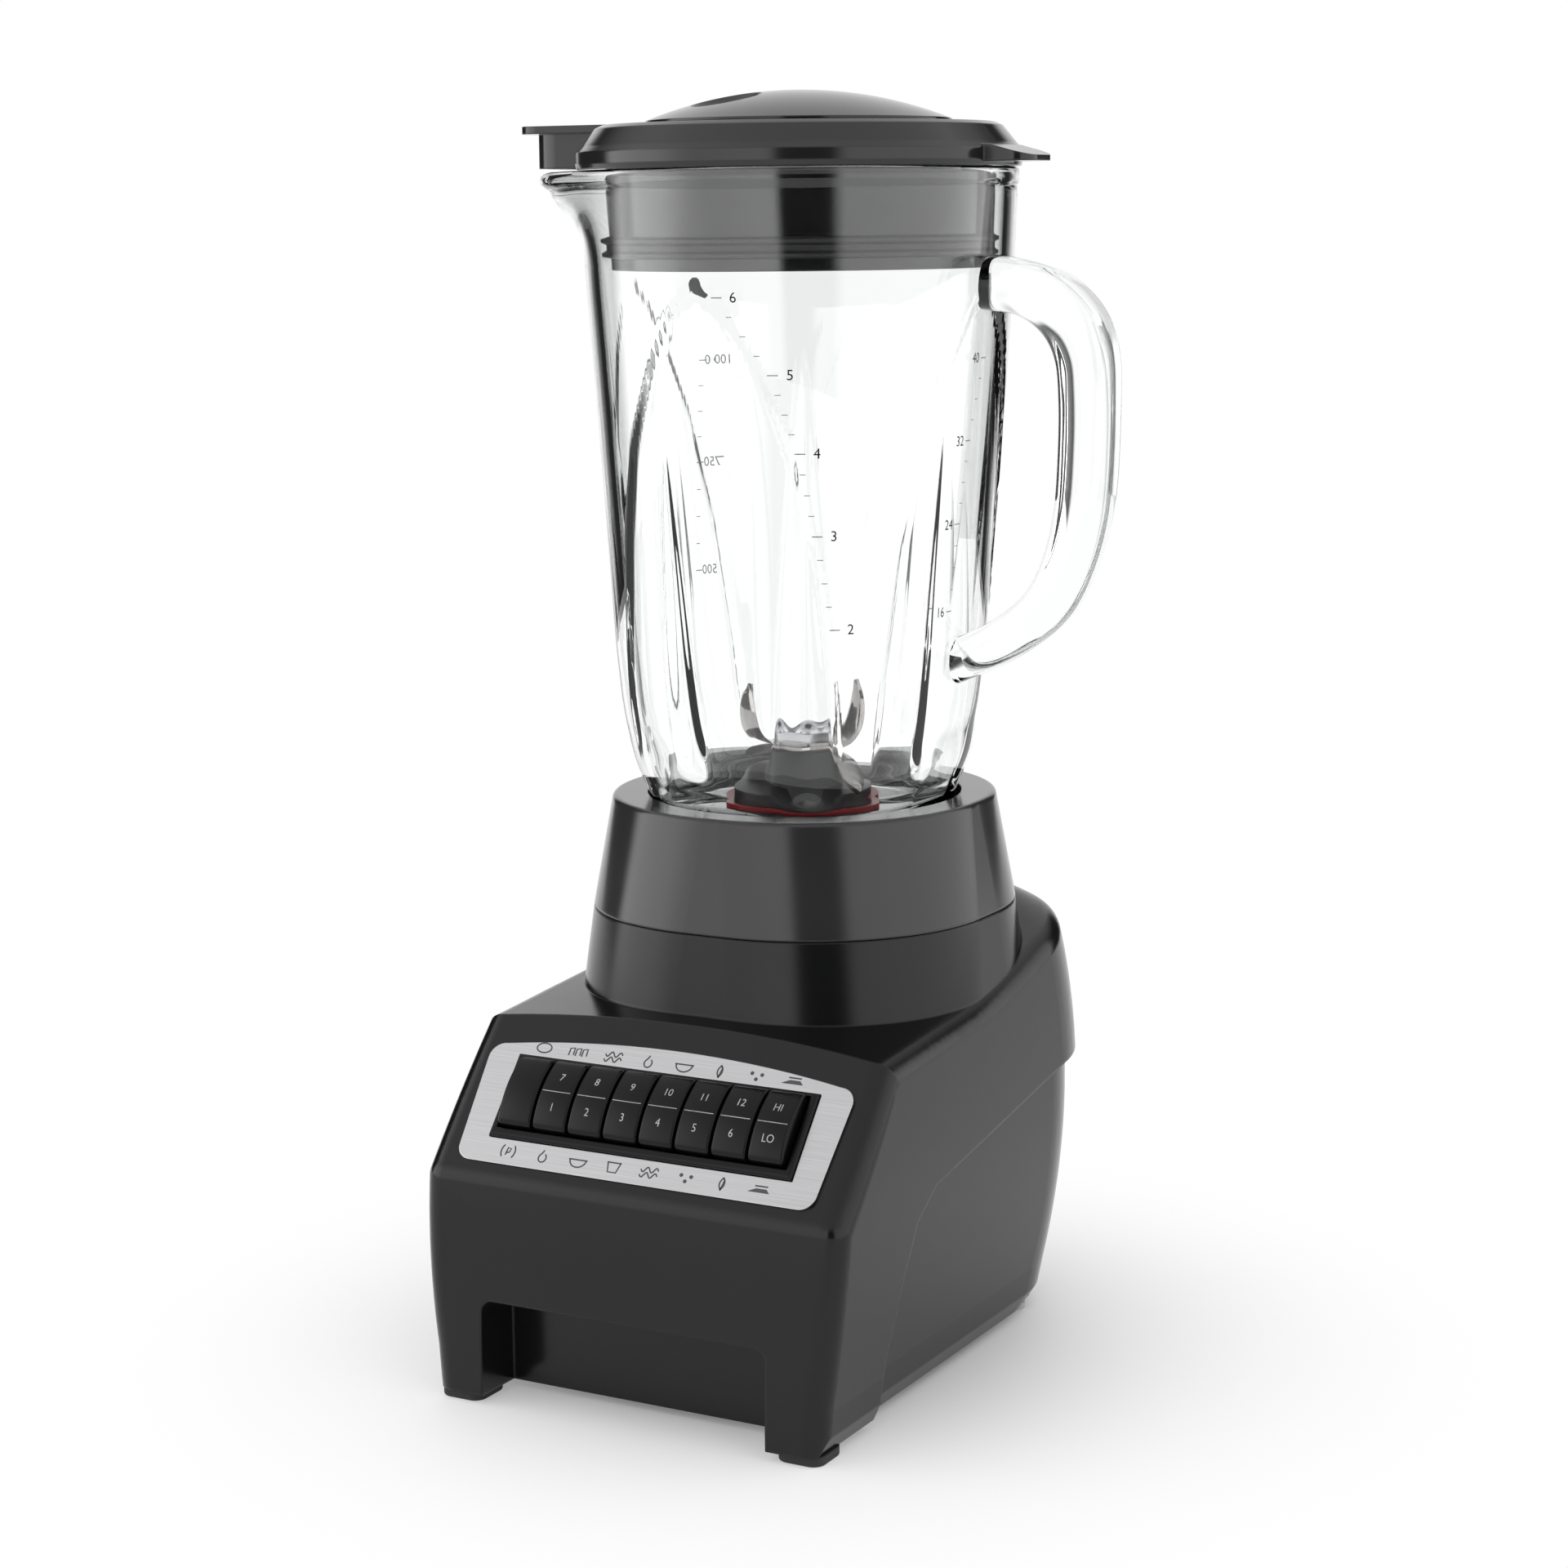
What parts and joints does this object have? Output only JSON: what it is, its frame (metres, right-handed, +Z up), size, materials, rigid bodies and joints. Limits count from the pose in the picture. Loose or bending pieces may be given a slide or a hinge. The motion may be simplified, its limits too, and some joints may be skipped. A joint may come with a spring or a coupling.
{
  "type": "countertop blender",
  "caption": "Countertop blender with a motor base, a row of push keys, a lift-off glass jar with handle and spout, a blade set, a lid and a fill cap.",
  "frame": {"origin": "centre of the bounding box in plan, at the height of the surface the feet stand on", "axes": "+Z up, the control panel faces -Y, the jar's handle points to +X"},
  "size_m": [0.2002, 0.2036, 0.3923],
  "materials": {
    "housing_black": "satin moulded black plastic",
    "collar_grey": "glossy charcoal plastic",
    "lid_black": "semi-gloss black plastic",
    "key_black": "fine matte black plastic",
    "inner_black": "plain moulded plastic",
    "plate_silver": "brushed silver plate",
    "clear_glass": "clear pressed glass",
    "blade_steel": "ground stainless steel",
    "shaft_steel": "ground steel",
    "screw_steel": "zinc plated steel",
    "core_steel": "varnished laminations",
    "winding_copper": "enamelled copper wire",
    "copper_bars": "turned copper",
    "bronze_bush": "sintered bronze",
    "contact_brass": "stamped brass",
    "bracket_metal": "die cast",
    "carbon": "pressed carbon",
    "black_rubber": "matte rubber",
    "red_silicone": "dark red silicone",
    "seal_rubber": "soft dark seal"
  },
  "bodies": {
    "base": {"base_housing": "housing_black", "bottom_cover": "inner_black", "rubber_feet": "black_rubber", "base_screws": "screw_steel", "cord_inlet": "black_rubber", "control_plate": "plate_silver", "key_bezel": "key_black", "switch_body": "inner_black", "contact_strips": "contact_brass", "switch_screws": "screw_steel", "motor_stator": "core_steel", "field_coils": "winding_copper", "upper_bracket": "bracket_metal", "lower_bracket": "bracket_metal", "upper_bearing": "bronze_bush", "lower_bearing": "bronze_bush", "motor_screws": "screw_steel", "stator_bolts": "screw_steel", "brush_holders": "bracket_metal", "carbon_brushes": "carbon", "jar_collar": "collar_grey", "collar_screws": "screw_steel"},
    "rotor": {"motor_shaft": "shaft_steel", "armature": "core_steel", "commutator": "copper_bars", "cooling_fan": "inner_black", "slinger": "black_rubber", "drive_coupling": "inner_black"},
    "jar_group": {"jar": "clear_glass", "jar_gasket": "red_silicone", "blade_base": "inner_black", "jar_nut": "inner_black", "blade_bush": "bronze_bush"},
    "blade_group": {"blade_shaft": "shaft_steel", "jar_coupling": "inner_black", "blade_washer": "shaft_steel", "lower_blade": "blade_steel", "upper_blade": "blade_steel", "blade_nut": "shaft_steel"},
    "lid_group": {"lid": "lid_black", "lid_seal": "seal_rubber"},
    "cap_group": {"fill_cap": "lid_black"},
    "key_1_body": {"key_1": "key_black"},
    "key_2_body": {"key_2": "key_black"},
    "key_3_body": {"key_3": "key_black"},
    "key_4_body": {"key_4": "key_black"},
    "key_5_body": {"key_5": "key_black"},
    "key_6_body": {"key_6": "key_black"},
    "key_7_body": {"key_7": "key_black"},
    "key_8_body": {"key_8": "key_black"}
  },
  "joints": [
    {"name": "motor_spin", "type": "hinge", "parent": "base", "child": "rotor", "pos_m": [-0.0058, 0.01572, 0.08], "axis": [0, 0, 1], "continuous": true},
    {"name": "jar_lift", "type": "slide", "parent": "base", "child": "jar_group", "axis": [0, 0, 1], "range_m": [0, 0.12]},
    {"name": "blade_spin", "type": "hinge", "parent": "jar_group", "child": "blade_group", "pos_m": [-0.0058, 0.01572, 0.18], "axis": [0, 0, 1], "continuous": true},
    {"name": "lid_lift", "type": "slide", "parent": "jar_group", "child": "lid_group", "axis": [0, 0, 1], "range_m": [0, 0.08]},
    {"name": "cap_lift", "type": "slide", "parent": "lid_group", "child": "cap_group", "axis": [0, 0, 1], "range_m": [0, 0.06]},
    {"name": "key_1_press", "type": "slide", "parent": "base", "child": "key_1_body", "axis": [0, 0.76, -0.65], "range_m": [0, 0.0035], "stiffness_N_per_m": 400},
    {"name": "key_2_press", "type": "slide", "parent": "base", "child": "key_2_body", "axis": [0, 0.76, -0.65], "range_m": [0, 0.0035], "stiffness_N_per_m": 400},
    {"name": "key_3_press", "type": "slide", "parent": "base", "child": "key_3_body", "axis": [0, 0.76, -0.65], "range_m": [0, 0.0035], "stiffness_N_per_m": 400},
    {"name": "key_4_press", "type": "slide", "parent": "base", "child": "key_4_body", "axis": [0, 0.76, -0.65], "range_m": [0, 0.0035], "stiffness_N_per_m": 400},
    {"name": "key_5_press", "type": "slide", "parent": "base", "child": "key_5_body", "axis": [0, 0.76, -0.65], "range_m": [0, 0.0035], "stiffness_N_per_m": 400},
    {"name": "key_6_press", "type": "slide", "parent": "base", "child": "key_6_body", "axis": [0, 0.76, -0.65], "range_m": [0, 0.0035], "stiffness_N_per_m": 400},
    {"name": "key_7_press", "type": "slide", "parent": "base", "child": "key_7_body", "axis": [0, 0.76, -0.65], "range_m": [0, 0.0035], "stiffness_N_per_m": 400},
    {"name": "key_8_press", "type": "slide", "parent": "base", "child": "key_8_body", "axis": [0, 0.76, -0.65], "range_m": [0, 0.0035], "stiffness_N_per_m": 400}
  ],
  "couplings": [
    {"joint": "blade_spin", "follows": "motor_spin", "ratio": 1}
  ]
}
